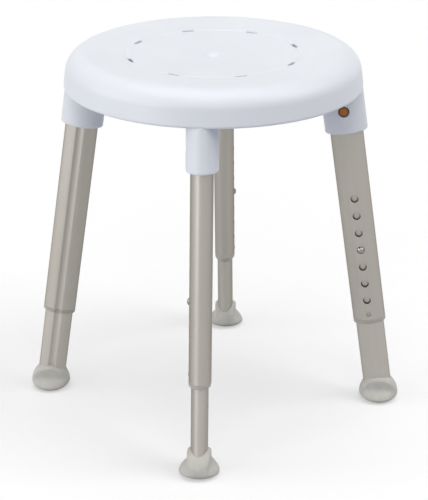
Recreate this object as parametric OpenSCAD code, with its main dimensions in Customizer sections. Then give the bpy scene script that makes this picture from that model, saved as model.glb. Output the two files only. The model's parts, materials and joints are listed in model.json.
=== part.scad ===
// Round shower stool: a moulded seat on four leaning legs that telescope in seven steps and
// pull off one by one. Each leg has an oval outer tube, held in a socket under the seat by a
// sprung release button, and an oval inner tube, held in the outer tube by a sprung pin.
//
// Frame: +Z up, origin on the floor under the middle of the seat, legs along +X, +Y, -X, -Y.
// A leg is drawn in its own frame: X outwards, Y along the seat's edge, Z up the leg's axis
// from the floor. Locking holes and buttons are on its -Y side, the groove on its +Y side.

/* [Seat] */
// Height of the seat's rim above the floor, with the legs in the middle hole
seat_height = 502.5; // [440:0.5:540]
// Widest diameter of the seat, just above the lower edge of its skirt
seat_d = 396; // [370:1:430]
// Wall of the moulding
seat_wall = 4; // [3:0.1:5]
// Depth of the dished top at its middle
dish_depth = 7.5; // [3:0.5:12]
// Radius over the rim
crest_round = 30; // [20:1:40]
// Radius from the rim down to the skirt
edge_round = 26; // [16:1:28]
// Slope at which the rim's radius runs into the edge's, in degrees
knee_angle = 25; // [15:1:40]
// Height of the skirt, from the rim to its lower edge
skirt_h = 45.3; // [40:0.1:60]
// Radius along the skirt's lower edge
lower_edge_r = 3.5; // [1.5:0.1:3.8]
// Diameter of the dimple in the middle
dimple_d = 18; // [10:1:30]
// Depth of the dimple
dimple_depth = 1.6; // [0.5:0.1:2]

/* [Drain slots] */
// Diameter of the ring of slots
slot_ring_d = 226.6; // [180:0.2:236]
// Number of slots
slot_count = 8; // [4:4:8]
// Length of a slot
slot_len = 18; // [12:0.5:24]
// Width of a slot
slot_w = 5.5; // [4:0.1:7]
// Width of the shallow groove that joins the slots
ring_groove_w = 4.5; // [2:0.1:5]
// Depth of that groove
ring_groove_depth = 0.8; // [0.4:0.1:1.2]

/* [Ribs under the seat] */
// Thickness of a rib
rib_wall = 2.5; // [1.5:0.1:4]
// Level of the ribs' lower edges, below the rim
rib_drop = 26.5; // [20:0.5:34]
// Diameter of the boss where the ribs meet
hub_d = 30; // [20:1:50]
// Diameter of the inner ring rib
inner_ring_d = 120; // [80:1:170]
// Diameter of the outer ring rib
outer_ring_d = 252; // [246:1:262]

/* [Leg sockets] */
// Lean of the legs, in degrees
leg_lean = 8.3; // [4:0.1:12]
// Width of a socket, outwards
socket_w = 57; // [54:0.1:62]
// Thickness of a socket, along the seat's edge
socket_t = 41.5; // [40:0.1:48]
// Radius of a socket's rounded ends
socket_end_r = 15; // [12:0.1:18]
// Distance from the rim down to the mouth of a socket
mouth_drop = 106.7; // [95:0.1:120]
// How far a socket's outer face lies inside the skirt's widest radius
socket_inset = 0.4; // [0.2:0.1:1.5]
// Round on the mouth's outer edge
mouth_round = 3; // [1:0.1:4]
// How far the outer tube goes into its socket
tube_insert = 66; // [55:0.5:72]
// Width of the ledge that stops the tube
ledge_w = 2; // [1.8:0.1:3]

/* [Outer tubes] */
// Width of the oval
tube_w = 44.2; // [43:0.1:45]
// Thickness of the oval
tube_t = 29.6; // [29:0.1:30.4]
// Radius of the rounded ends
tube_end_r = 9.5; // [8:0.1:11]
// Wall of the tube
tube_wall = 1.6; // [1.3:0.1:1.9]
// Length of the tube
tube_len = 339.6; // [320:0.2:350]
// Width of the groove along the tube
tube_groove_w = 10.3; // [8:0.1:12]
// Depth of the groove
tube_groove_depth = 2.5; // [1.5:0.1:2.8]

/* [Height setting] */
// Distance from one locking hole to the next
hole_pitch = 25; // [22:0.5:26]
// Number of locking holes
hole_count = 7; // [5:1:8]
// Hole that the pin is in, counted from the lowest
set_hole = 4; // [3:1:5]
// Diameter of a locking hole
hole_d = 10.4; // [10.1:0.1:11]
// Distance from the tube's lower end to its lowest hole
lowest_hole = 30.3; // [26.5:0.1:35]

/* [Inner tubes] */
// Width of the oval
inner_w = 38.4; // [37.4:0.1:38.8]
// Thickness of the oval
inner_t = 22.8; // [22:0.1:23.4]
// Radius of the rounded ends
inner_end_r = 7.5; // [6:0.1:9]
// Wall of the tube
inner_wall = 1.5; // [1.2:0.1:1.8]
// Width of the groove along the tube
inner_groove_w = 11; // [10.4:0.1:12]
// Depth of the groove
inner_groove_depth = 2.5; // [2.4:0.1:3]
// Length of the tube above its pin
inner_over = 88; // [84:0.5:92]

/* [Guide bushes and slide caps] */
// Thickness of the bush's flange under the outer tube
flange_t = 5.2; // [3:0.1:7]
// Length of the bush's sleeve inside the outer tube
sleeve_len = 20; // [14:0.5:21]
// Diameter of the nub that locks the bush in the tube
nub_d = 5; // [4:0.1:6]
// Height of the nub above the tube's lower end
nub_up = 8.8; // [5:0.1:12]
// How far the nub stands proud of the tube
nub_proud = 0.5; // [0.2:0.1:1]
// Thickness of the slide cap over the inner tube's upper end
cap_t = 3; // [2:0.1:4]
// Length of the cap's plug inside the inner tube
plug_len = 12; // [8:0.5:20]

/* [Snap pins] */
// Diameter of the pin
pin_d = 9.3; // [8.5:0.1:9.4]
// How far the pin stands proud of the outer tube
pin_proud = 3; // [2:0.1:3.2]
// Height of the pin's domed end
pin_dome = 1.5; // [1:0.1:2]
// Diameter of the head that keeps the pin in the inner tube
pin_head_d = 12; // [11:0.1:14]
// Thickness of that head
pin_head_t = 1.2; // [1:0.1:1.6]

/* [Release buttons] */
// Height of the button above the socket's mouth
button_up = 31.5; // [28:0.1:31.5]
// Diameter of the holes for the button in the socket and the tube
button_hole_d = 15; // [14:0.1:15.2]
// Diameter of the raised face
button_face_d = 10.7; // [8:0.1:12]
// How far the raised face lies inside the socket's surface
button_recess = 1.1; // [0.8:0.1:1.6]
// Height of the raised face above the button's shoulder
button_step = 1.5; // [0.8:0.1:2]
// Diameter of the head that keeps the button in the tube
button_head_d = 17; // [16.8:0.1:19]
// Thickness of that head
button_head_t = 1.5; // [1:0.1:2]

/* [Leaf springs] */
// Thickness of the spring strip
strip_t = 0.8; // [0.5:0.1:1.2]
// Width of the strip behind the pin
pin_strip_w = 8; // [6:0.5:10]
// Length of the spring behind the pin, below the pin
pin_strip_len = 32; // [24:1:40]
// Width of the strip behind the release button
button_strip_w = 9; // [6:0.5:10]
// Length of the spring behind the release button, below the button
button_strip_len = 26; // [20:1:27]
// Length of a strip above its pin or button
strip_over = 7; // [5:0.5:9]

/* [Rubber feet] */
// Diameter of the foot at its widest
foot_d = 54; // [50:0.5:60]
// Diameter of the sole that meets the floor
contact_d = 38; // [30:0.5:44]
// Height of the rim, where the slope up from the sole ends
foot_rim_z = 4.5; // [3:0.5:7]
// Height of the foot's widest level
foot_wide_z = 9.5; // [8:0.5:13]
// Height of the foot's domed keel on its axis
foot_dome_h = 38.2; // [34:0.1:42]
// Thickness of the keel between its flat flanks, along the seat's edge
keel_t = 31.4; // [29:0.1:34]
// Height that the wings beside the flanks would reach on the foot's axis
wing_h = 22; // [18:0.5:26]
// Height at which the leg's axis crosses the foot's upright axis
foot_cross_z = 12; // [8:0.5:16]
// Rubber under the end of the inner tube
foot_floor = 10; // [8:0.5:14]

/* [Fits] */
// Gap between pieces that slide on each other
slide_gap = 0.3; // [0.2:0.05:0.4]
// Gap round pieces that are pushed together and stay
push_gap = 0.1; // [0.05:0.05:0.15]

/* [Hidden] */
$fn = 96;
// Legs in turn round the seat
SIDES = ["right", "rear", "left", "front"];
LEG_PARTS = [
    "outer_tube", "guide_bush", "release_button", "release_spring",
    "inner_tube", "slide_cap", "snap_pin", "pin_spring", "rubber_foot"
];

// Levels and radii of the seat
seat_r = seat_d / 2;
skirt_z = seat_height - skirt_h;
lower_edge_z = skirt_z + lower_edge_r;
edge_end_z = seat_height - crest_round + (crest_round - edge_round) * cos(knee_angle)
    + edge_round * sin(leg_lean);
crest_r = seat_r - (crest_round - edge_round) * sin(knee_angle) - edge_round * cos(leg_lean)
    - (edge_end_z - lower_edge_z) * tan(leg_lean);
// The dish is an arc that meets the rim's arc without a kink
dish_span = (pow(crest_r, 2) + pow(dish_depth, 2)) / (2 * dish_depth);
dish_r = dish_span - crest_round;
dish_angle = asin(crest_r / dish_span);
dish_centre = [0, seat_height - dish_depth + dish_r];
crest_centre = [crest_r, seat_height - crest_round];
edge_centre = crest_centre
    + (crest_round - edge_round) * [sin(knee_angle), cos(knee_angle)];
lower_edge_centre = [seat_r - lower_edge_r / cos(leg_lean), lower_edge_z];
slot_angle = 360 / slot_count;
rib_count = 8;

// Distances along a leg's axis from the floor
axis_r_at_skirt = seat_r - socket_w / 2 / cos(leg_lean) - socket_inset;
foot_r = axis_r_at_skirt + tan(leg_lean) * skirt_z;
mouth_s = (seat_height - mouth_drop) / cos(leg_lean);
tube_top_s = mouth_s + tube_insert;
tube_end_s = tube_top_s - tube_len;
pin_s = tube_end_s + lowest_hole + hole_pitch * (set_hole - 1);
button_s = mouth_s + button_up;
inner_top_s = pin_s + inner_over;
inner_end_s = foot_floor;

// Radii of the tubes' long sides
tube_side_r = side_radius(tube_w, tube_t, tube_end_r);
inner_side_r = side_radius(inner_w, inner_t, inner_end_r);

// Distances from a leg's axis towards its hole side (tip, face) and its groove side (rest)
pin_tip_y = tube_t / 2 + pin_proud;
pin_head_y = chord_depth(inner_t / 2 - inner_wall, inner_side_r - inner_wall, pin_head_d / 2)
    - slide_gap;
button_face_y = socket_t / 2 - button_recess;
button_head_y = chord_depth(tube_t / 2 - tube_wall, tube_side_r - tube_wall, button_head_d / 2)
    - slide_gap;
pin_strip_rest_y = inner_t / 2 - inner_groove_depth - inner_wall - push_gap;
button_strip_rest_y = tube_t / 2 - tube_groove_depth - tube_wall - push_gap;
pin_hole_d = pin_d + 2 * slide_gap;
button_d = button_hole_d - 2 * slide_gap;
nub_hole_d = nub_d + 2 * slide_gap;
cut = 1;

seat_colour = "#dfe4ec";
tube_colour = "#b5b0a8";
inner_colour = "#bdb8b1";
bush_colour = "#aca79f";
rubber_colour = "#a29f9a";
button_colour = "#b5651d";
steel_colour = "#8c8c8c";

// Radius of the long sides of an oval
function side_radius(w, t, r) =
    (pow(w / 2 - r, 2) + pow(t / 2, 2) - pow(r, 2)) / (t - 2 * r);
// How far out a flat disc of radius r can lie under a side of the given radius
function chord_depth(half, side, r) = half - (side - sqrt(pow(side, 2) - pow(r, 2)));
function groove_radius(w, depth) = (pow(w / 2, 2) + pow(depth, 2)) / (2 * depth);
function arc(centre, r, from, to, steps) =
    [for (k = [0:steps]) let (a = from + (to - from) * k / steps) centre + r * [cos(a), sin(a)]];

// Oval of four arcs, w wide and t thick, with ends of radius r
module oval(w, t, r) {
    side = side_radius(w, t, r);
    meet = side * (w / 2 - r) / (side - r);
    intersection() {
        translate([0, t / 2 - side]) circle(side);
        translate([0, side - t / 2]) circle(side);
        square([2 * meet, 2 * t], center = true);
    }
    for (end = [-1, 1]) translate([end * (w / 2 - r), 0]) circle(r);
}

// Oval with a round groove along its +Y side, grown outwards by grow all round
module grooved_oval(w, t, r, groove_w, groove_depth, grow) {
    groove_r = groove_radius(groove_w, groove_depth);
    difference() {
        oval(w + 2 * grow, t + 2 * grow, r + grow);
        translate([0, t / 2 - groove_depth + groove_r]) circle(groove_r - grow);
    }
}

module outer_outline(grow = 0)
    grooved_oval(tube_w, tube_t, tube_end_r, tube_groove_w, tube_groove_depth, grow);

module inner_outline(grow = 0)
    grooved_oval(inner_w, inner_t, inner_end_r, inner_groove_w, inner_groove_depth, grow);

// Prism of a 2D outline between two distances along the leg's axis
module between(low, high) translate([0, 0, low]) linear_extrude(high - low) children();

// Round bar from near to far on the hole side of the leg, at distance s along it
module hole_side_bar(d, near, far, s)
    translate([0, -near, s]) rotate([90, 0, 0]) cylinder(d = d, h = far - near);

module on_leg(i)
    rotate([0, 0, i * 90]) translate([foot_r, 0, 0]) rotate([0, -leg_lean, 0]) children();

// Seat: half outlines, in radius and height

// The seat's outer surface, or the curve that runs inset below it
function seat_curve(inset) = concat(
    arc(dish_centre, dish_r + inset, -90, dish_angle - 90, 6),
    arc(crest_centre, crest_round - inset, 90 + dish_angle, 90 - knee_angle, 5),
    arc(edge_centre, edge_round - inset, 90 - knee_angle, leg_lean, 9)
);
function skirt_r(inset, z) = seat_r + (lower_edge_z - z) * tan(leg_lean) - inset / cos(leg_lean);
function seat_outside() = concat(
    seat_curve(0),
    arc(lower_edge_centre, lower_edge_r, leg_lean, -90, 5),
    [[0, skirt_z]]
);
function seat_inside() = concat(
    seat_curve(seat_wall),
    [[skirt_r(seat_wall, skirt_z - cut), skirt_z - cut], [0, skirt_z - cut]]
);
// What ribs and sockets may fill: up to the middle of the wall, and free below the skirt
function seat_filling() = concat(
    seat_curve(seat_wall / 2),
    [
        [skirt_r(seat_wall / 2, lower_edge_z), lower_edge_z],
        [seat_r + socket_w, lower_edge_z],
        [seat_r + socket_w, 0],
        [0, 0]
    ]
);

module ribs() {
    translate([0, 0, seat_height - rib_drop]) {
        cylinder(d = hub_d, h = rib_drop);
        for (ring_d = [inner_ring_d, outer_ring_d]) difference() {
            cylinder(d = ring_d + rib_wall, h = rib_drop);
            translate([0, 0, -cut]) cylinder(d = ring_d - rib_wall, h = rib_drop + 2 * cut);
        }
        for (k = [0:rib_count - 1]) rotate([0, 0, k * 360 / rib_count])
            translate([0, -rib_wall / 2, 0]) cube([seat_r, rib_wall, rib_drop]);
    }
}

module socket_outline(grow = 0)
    oval(socket_w + 2 * grow, socket_t + 2 * grow, socket_end_r + grow);

module socket_body() {
    between(mouth_s, mouth_s + mouth_round) socket_outline(-mouth_round / 3);
    between(mouth_s + mouth_round / 2, seat_height / cos(leg_lean) + socket_w) socket_outline();
}

module socket_hollow() {
    between(mouth_s - cut, tube_top_s + slide_gap) outer_outline(slide_gap);
    hole_side_bar(button_hole_d, 0, socket_t, button_s);
}

module above_ledge()
    between(tube_top_s, seat_height / cos(leg_lean)) outer_outline(slide_gap - ledge_w);

module drain_slot() {
    translate([slot_ring_d / 2, 0, skirt_z]) {
        translate([-slot_w / 2, (slot_w - slot_len) / 2, 0])
            cube([slot_w, slot_len - slot_w, seat_height]);
        for (end = [-1, 1]) translate([0, end * (slot_len - slot_w) / 2, 0])
            cylinder(d = slot_w, h = seat_height);
    }
}

module ring_groove() {
    groove_r = groove_radius(ring_groove_w, ring_groove_depth);
    ring_z = dish_centre[1] - sqrt(pow(dish_r, 2) - pow(slot_ring_d / 2, 2));
    rotate_extrude() translate([slot_ring_d / 2, ring_z - ring_groove_depth + groove_r])
        circle(groove_r);
}

module dimple() {
    dimple_r = groove_radius(dimple_d, dimple_depth);
    translate([0, 0, seat_height - dish_depth - dimple_depth + dimple_r]) sphere(dimple_r);
}

module seat() color(seat_colour) difference() {
    union() {
        rotate_extrude() difference() {
            polygon(seat_outside());
            polygon(seat_inside());
        }
        intersection() {
            rotate_extrude() polygon(seat_filling());
            union() {
                ribs();
                for (i = [0:3]) on_leg(i) socket_body();
            }
        }
    }
    for (i = [0:3]) on_leg(i) socket_hollow();
    intersection() {
        rotate_extrude() polygon(seat_inside());
        for (i = [0:3]) on_leg(i) above_ledge();
    }
    for (k = [0:slot_count - 1]) rotate([0, 0, (k + 0.5) * slot_angle]) drain_slot();
    ring_groove();
    dimple();
}

// Pieces of one leg, in the leg's frame

module outer_tube() color(tube_colour) difference() {
    between(tube_end_s, tube_top_s) difference() {
        outer_outline();
        outer_outline(-tube_wall);
    }
    for (k = [0:hole_count - 1])
        hole_side_bar(hole_d, 0, tube_t, tube_end_s + lowest_hole + k * hole_pitch);
    hole_side_bar(nub_hole_d, 0, tube_t, tube_end_s + nub_up);
    hole_side_bar(button_hole_d, 0, tube_t, button_s);
}

// Flange under the outer tube, sleeve between the two tubes, and the nub that locks it
module guide_bush() color(bush_colour) difference() {
    union() {
        between(tube_end_s - flange_t, tube_end_s) outer_outline();
        between(tube_end_s - flange_t / 2, tube_end_s + sleeve_len)
            outer_outline(-tube_wall - push_gap);
        hole_side_bar(nub_d, inner_t / 2, tube_t / 2 + nub_proud, tube_end_s + nub_up);
    }
    between(tube_end_s - flange_t - cut, tube_end_s + sleeve_len + cut)
        inner_outline(slide_gap);
}

module release_button() color(button_colour) {
    shoulder_y = button_face_y - button_step;
    hole_side_bar(button_head_d, button_head_y - button_head_t, button_head_y, button_s);
    hole_side_bar(button_d, button_head_y - button_head_t / 2, shoulder_y, button_s);
    hole_side_bar(button_face_d, button_head_y, button_face_y, button_s);
}

// Strip bent to a V: one leg behind the head at head_y, the other against the groove's wall
module leaf_spring(head_y, rest_y, strip_w, len, s) {
    bend_y = (rest_y - head_y) / 2;
    translate([-strip_w / 2, 0, s]) rotate([90, 0, 90]) linear_extrude(strip_w) polygon([
        [-head_y, strip_over],
        [-head_y, -strip_over],
        [bend_y - strip_t, -len],
        [bend_y + strip_t, -len],
        [rest_y, -strip_over],
        [rest_y, strip_over],
        [rest_y - strip_t, strip_over],
        [rest_y - strip_t, -strip_over],
        [bend_y, -len + 2 * strip_t],
        [-head_y + strip_t, -strip_over],
        [-head_y + strip_t, strip_over]
    ]);
}

module release_spring() color(steel_colour)
    leaf_spring(button_head_y - button_head_t, button_strip_rest_y, button_strip_w,
        button_strip_len, button_s);

module inner_tube() color(inner_colour) difference() {
    between(inner_end_s, inner_top_s) difference() {
        inner_outline();
        inner_outline(-inner_wall);
    }
    hole_side_bar(pin_hole_d, 0, inner_t, pin_s);
}

// Cap that guides the inner tube's upper end inside the outer tube
module slide_cap() color(bush_colour) {
    between(inner_top_s, inner_top_s + cap_t) outer_outline(-tube_wall - slide_gap);
    between(inner_top_s - plug_len, inner_top_s + cap_t / 2)
        inner_outline(-inner_wall - push_gap);
}

module snap_pin() color(steel_colour) {
    dome_r = groove_radius(pin_d, pin_dome);
    hole_side_bar(pin_head_d, pin_head_y - pin_head_t, pin_head_y, pin_s);
    hole_side_bar(pin_d, pin_head_y - pin_head_t / 2, pin_tip_y - pin_dome, pin_s);
    intersection() {
        translate([0, dome_r - pin_tip_y, pin_s]) sphere(dome_r);
        hole_side_bar(pin_d, pin_head_y, pin_tip_y + cut, pin_s);
    }
}

module pin_spring() color(steel_colour)
    leaf_spring(pin_head_y - pin_head_t, pin_strip_rest_y, pin_strip_w, pin_strip_len, pin_s);

// Foot: upright on the floor, a domed keel with flat flanks and a low wing beside each
foot_centre_r = foot_r - foot_cross_z * tan(leg_lean);
foot_edge_r = foot_d / 2;
function quarter(r, low, high) = [for (a = [0:7.5:90]) [r * cos(a), low + (high - low) * sin(a)]];

module foot_body() intersection() {
    rotate_extrude() polygon(concat(
        [[0, 0], [contact_d / 2, 0], [foot_edge_r - 0.6, foot_rim_z]],
        quarter(foot_edge_r, foot_wide_z, foot_dome_h)
    ));
    union() {
        translate([-foot_edge_r, -keel_t / 2, 0]) cube([foot_d, keel_t, foot_dome_h]);
        rotate_extrude() polygon(concat([[0, 0]], quarter(foot_edge_r + 0.3, 0, wing_h)));
    }
}

module rubber_foot(i) color(rubber_colour) difference() {
    rotate([0, 0, i * 90]) translate([foot_centre_r, 0, 0]) foot_body();
    on_leg(i) between(inner_end_s, foot_dome_h + foot_d) inner_outline(push_gap);
}

seat();
for (i = [0:3]) {
    side = SIDES[i];
    on_leg(i) outer_tube();
    on_leg(i) guide_bush();
    on_leg(i) release_button();
    on_leg(i) release_spring();
    on_leg(i) inner_tube();
    on_leg(i) slide_cap();
    on_leg(i) snap_pin();
    on_leg(i) pin_spring();
    rubber_foot(i);
}
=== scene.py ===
import json
import math

import bmesh
import bpy
import numpy as np
from mathutils import Matrix, Vector


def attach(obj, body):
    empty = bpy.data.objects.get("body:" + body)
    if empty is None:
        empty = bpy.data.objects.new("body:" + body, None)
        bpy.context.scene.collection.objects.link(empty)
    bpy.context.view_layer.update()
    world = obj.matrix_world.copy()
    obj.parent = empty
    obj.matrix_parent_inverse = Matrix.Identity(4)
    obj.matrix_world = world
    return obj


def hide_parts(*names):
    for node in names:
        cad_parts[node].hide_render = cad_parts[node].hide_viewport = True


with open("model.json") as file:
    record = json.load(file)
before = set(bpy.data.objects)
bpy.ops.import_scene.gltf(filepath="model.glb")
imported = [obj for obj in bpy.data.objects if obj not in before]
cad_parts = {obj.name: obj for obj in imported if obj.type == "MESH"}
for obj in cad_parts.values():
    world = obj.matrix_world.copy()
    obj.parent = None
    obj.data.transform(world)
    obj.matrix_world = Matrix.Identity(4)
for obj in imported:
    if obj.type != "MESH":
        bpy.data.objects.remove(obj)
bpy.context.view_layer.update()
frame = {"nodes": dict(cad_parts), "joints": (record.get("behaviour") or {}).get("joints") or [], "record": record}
print("stool: frame loaded")

# meshes are drawn in millimetres and scaled once, when they are built
mm = 0.001
weld = 0.002         # points nearer than this become one
sides = ["right", "rear", "left", "front"]


# the leg's own frame: X outwards, Y along the seat's edge, Z up the leg
def jointNamed(name):
    return next(j for j in frame["joints"] if j["name"] == name)


def mountNamed(name):
    return next(m for m in frame["record"]["mounts"] if m["name"] == name)


legDown = Vector(jointNamed("leg_pull_right")["axis"])
lean = math.atan2(legDown.x, -legDown.z)


# lowest and highest corner of a node, in millimetres, seen from a turned frame
def spanOf(node, turned=Matrix.Identity(4)):
    points = np.array([turned @ v.co for v in frame["nodes"][node].data.vertices]) / mm
    return Vector(points.min(0)), Vector(points.max(0))


tubeLow, tubeHigh = spanOf("outer_tube_right", Matrix.Rotation(lean, 4, "Y"))
footRadius = (tubeLow.x + tubeHigh.x) / 2 / math.cos(lean)   # where the leg's axis meets the floor
legMatrix = Matrix.Translation((footRadius * mm, 0, 0)) @ Matrix.Rotation(-lean, 4, "Y")
fromLeg = legMatrix.inverted()


def legSpan(node):
    return spanOf(node, fromLeg)


# a shape holds points in millimetres and the faces between them
class Shape:
    def __init__(self):
        self.points, self.faces = [], []
        self.walls = []      # the faces that take a piece's second finish, a painted shade

    # quads between rows of points; rows are rings unless closed is False
    def rows(self, rows, closed=True):
        first, count = len(self.points), len(rows[0])
        for row in rows:
            self.points += [tuple(p) for p in row]
        for r in range(len(rows) - 1):
            for k in range(count if closed else count - 1):
                a, b = first + r * count + k, first + r * count + (k + 1) % count
                self.faces.append((a, b, b + count, a + count))

    # closes a ring with a fan to one point
    def fan(self, ring, tip):
        first = len(self.points)
        self.points += [tuple(p) for p in ring] + [tuple(tip)]
        for k in range(len(ring)):
            self.faces.append((first + k, first + (k + 1) % len(ring), first + len(ring)))

    # rings with a fan over each end, to the end's middle
    def capped(self, rows):
        self.rows(rows)
        for row in (rows[0], rows[-1]):
            self.fan(row, sum((Vector(p) for p in row), Vector()) / len(row))

    def mesh(self, name):
        mesh = bpy.data.meshes.new(name)
        mesh.from_pydata(self.points, [], self.faces)
        for face in self.walls:
            mesh.polygons[face].material_index = 1
        tool = bmesh.new()
        tool.from_mesh(mesh)
        bmesh.ops.remove_doubles(tool, verts=tool.verts, dist=weld)
        bmesh.ops.recalc_face_normals(tool, faces=tool.faces)
        tool.to_mesh(mesh)
        tool.free()
        return mesh


# rounds the corners of a path of (across, along, radius), open or closed
def rounded(corners, closed=False, steps=5):
    path = []
    for k, (across, along, radius) in enumerate(corners):
        here = Vector((across, along))
        if not radius or (not closed and k in (0, len(corners) - 1)):
            path.append(here)
            continue
        before = (Vector(corners[k - 1][:2]) - here).normalized()
        after = (Vector(corners[(k + 1) % len(corners)][:2]) - here).normalized()
        half = before.angle(after) / 2
        middle = here + (before + after).normalized() * radius / math.sin(half)
        start = here + before * radius / math.tan(half) - middle
        turn = start.angle_signed(here + after * radius / math.tan(half) - middle)
        for j in range(steps + 1):
            path.append(middle + Matrix.Rotation(-turn * j / steps, 2) @ start)
    return path


def arcPoints(centre, radius, start, end, steps):
    turns = [math.radians(start + (end - start) * k / steps) for k in range(steps + 1)]
    return [Vector((centre[0] + radius * math.cos(a), centre[1] + radius * math.sin(a))) for a in turns]


# the smaller of two values, with the corner between them rounded off
def softMin(a, b, soft):
    h = max(soft - abs(a - b), 0) / soft
    return min(a, b) - h * h * soft / 4


# radius of the arc that is so wide and so deep
def arcRadius(width, depth):
    return (width ** 2 / 4 + depth ** 2) / (2 * depth)


# tube outlines are ovals of four arcs, some with a groove along the +Y side
stripHalf = 9        # half width of the strip that holes sit in
stripColumns = 12
flatSteps = 6
endSteps = 16
grooveSteps = 56


def sideRadius(oval):
    w, t, r = oval["width"], oval["thick"], oval["endRadius"]
    return ((w / 2 - r) ** 2 + (t / 2) ** 2 - r ** 2) / (t - 2 * r)


# how far the hole side lies from the middle at x, for an outline grown all round
def holeSideY(oval, grow, x):
    side = sideRadius(oval) + grow
    return oval["thick"] / 2 + grow - side + math.sqrt(side ** 2 - x ** 2)


def outline(oval, grow=0):
    w, t, r = oval["width"], oval["thick"], oval["endRadius"]
    side = sideRadius(oval)
    halfTurn = math.atan2(w / 2 - r, side - t / 2)
    stripTurn = math.asin(stripHalf / (side + grow))
    grooveWidth, grooveDepth = oval.get("groove", (0, 0))

    def holeSide(across):
        return [(x, -holeSideY(oval, grow, x)) for x in across]

    def besideStrip(start, end):
        turns = [start + (end - start) * k / flatSteps for k in range(flatSteps)]
        return holeSide([(side + grow) * math.sin(a) for a in turns])

    def endRound(middle, start):
        turns = [start + (math.pi - 2 * halfTurn) * (k / endSteps - 0.5) for k in range(endSteps)]
        return [(middle + (r + grow) * math.cos(a), (r + grow) * math.sin(a)) for a in turns]

    points = holeSide([stripHalf * (2 * k / stripColumns - 1) for k in range(stripColumns)])
    points += besideStrip(stripTurn, halfTurn) + endRound(w / 2 - r, 0)
    for k in range(grooveSteps):
        x = (side + grow) * math.sin(halfTurn * (1 - 2 * k / grooveSteps))
        y = holeSideY(oval, grow, x)
        if grooveDepth:
            radius = arcRadius(grooveWidth, grooveDepth)
            if abs(x) < radius - grow:
                bottom = t / 2 - grooveDepth + radius - math.sqrt((radius - grow) ** 2 - x ** 2)
                y = softMin(y, bottom, oval["grooveEdge"])
        points.append((x, y))
    return points + endRound(r - w / 2, math.pi) + besideStrip(-halfTurn, -stripTurn)


def ring(oval, grow, s):
    return [(x, y, s) for x, y in outline(oval, grow)]


# a line of (x, y) carried up through levels
def sheet(shape, line, levels):
    shape.rows([[(x, y, s) for x, y in line] for s in levels], closed=False)


# a hole or a boss in the hole side: rings from the strip's edge through steps of (radius, grow),
# and on to the far skin or up to a tip
def holeCell(shape, oval, low, high, middle, skin, steps, far=None, tip=None):
    n, halfway = stripColumns, 0.55
    edge = [(stripHalf * (2 * k / n - 1), low) for k in range(n)]
    edge += [(stripHalf, low + (high - low) * k / n) for k in range(n)]
    edge += [(stripHalf * (1 - 2 * k / n), high) for k in range(n)]
    edge += [(-stripHalf, high + (low - high) * k / n) for k in range(n)]
    turns = [math.radians(360 * k / (4 * n) - 135) for k in range(4 * n)]

    def lifted(flat, grow):
        return [(x, -holeSideY(oval, grow, x), s) for x, s in flat]

    def circle(radius):
        return [(radius * math.cos(a), middle + radius * math.sin(a)) for a in turns]

    def between(radius):
        return [(p[0] + (q[0] - p[0]) * halfway, p[1] + (q[1] - p[1]) * halfway)
                for p, q in zip(edge, circle(radius))]

    rings = [lifted(circle(radius), grow) for radius, grow in steps]
    shape.rows([lifted(edge, skin), lifted(between(steps[0][0]), skin), rings[0]])
    first = len(shape.faces)
    shape.rows(rings)
    if far is not None:
        shape.walls += range(first + 4 * n, len(shape.faces))      # all but the first band take the painted shade of a hole's wall
        shape.rows([rings[-1], lifted(between(steps[-1][0]), far), lifted(edge, far)])
    if tip is not None:
        shape.fan(rings[-1], (0, -holeSideY(oval, tip, 0), middle))


# a tube along the leg with round holes in its hole side: holes are (level, diameter, taper)
def holedTube(oval, wall, low, high, holes, lip=0.35, holeEdge=0.2):
    cellReach, rowHeight, edgeSteps = stripHalf * 1.3, 12, 4
    shape = Shape()
    ends = rounded([(-wall, low + 2 * lip, 0), (-wall, low, lip), (0, low, lip), (0, low + 2 * lip, 0)])
    shape.rows([ring(oval, grow, s) for grow, s in ends])
    shape.rows([ring(oval, grow, low + high - s) for grow, s in ends])
    start, end = low + 2 * lip, high - 2 * lip
    cells, at = [], start
    levels = sorted([start, end] + [hole[0] for hole in holes])
    for level, diameter, taper in sorted(holes):
        k = levels.index(level)
        below = level - levels[k - 1] if k == 1 else (level - levels[k - 1]) / 2
        above = levels[k + 1] - level if k == len(levels) - 2 else (levels[k + 1] - level) / 2
        reach = min(cellReach, below, above)
        if level - reach - at > weld:
            cells.append((at, level - reach, None, 0, 0))
        cells.append((level - reach, level + reach, level, diameter, taper))
        at = level + reach
    cells.append((at, end, None, 0, 0))
    turns = [math.pi / 2 * k / edgeSteps for k in range(edgeSteps + 1)]
    for cellLow, cellHigh, middle, diameter, taper in cells:
        count = stripColumns if middle else max(1, round((cellHigh - cellLow) / rowHeight))
        rows = [cellLow + (cellHigh - cellLow) * k / count for k in range(count + 1)]
        for skin in (0, -wall):
            around = outline(oval, skin)
            sheet(shape, around[stripColumns:] + around[:1], rows)
            if not middle:
                sheet(shape, around[:stripColumns + 1], rows)
        if middle:
            radius = diameter / 2
            steps = [(radius + holeEdge * (1 - math.sin(a)), -holeEdge * (1 - math.cos(a)))
                     for a in turns] + [(radius - taper, -wall)]
            holeCell(shape, oval, cellLow, cellHigh, middle, 0, steps, far=-wall)
    return shape


# a piece turned about an axis that points out of the hole side: profile of (radius, distance out)
def turned(shape, profile, s, segments=48):
    def ringAt(radius, out):
        turns = [2 * math.pi * k / segments for k in range(segments)]
        return [(radius * math.cos(a), -out, s + radius * math.sin(a)) for a in turns]

    shape.rows([ringAt(r, out) for r, out in profile[1:-1]])
    shape.fan(ringAt(*profile[1]), (0, -profile[0][1], s))
    shape.fan(ringAt(*profile[-2]), (0, -profile[-1][1], s))


def linear(red, green, blue):
    def one(c):
        c /= 255
        return c / 12.92 if c <= 0.04045 else ((c + 0.055) / 1.055) ** 2.4
    return one(red), one(green), one(blue), 1


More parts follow.
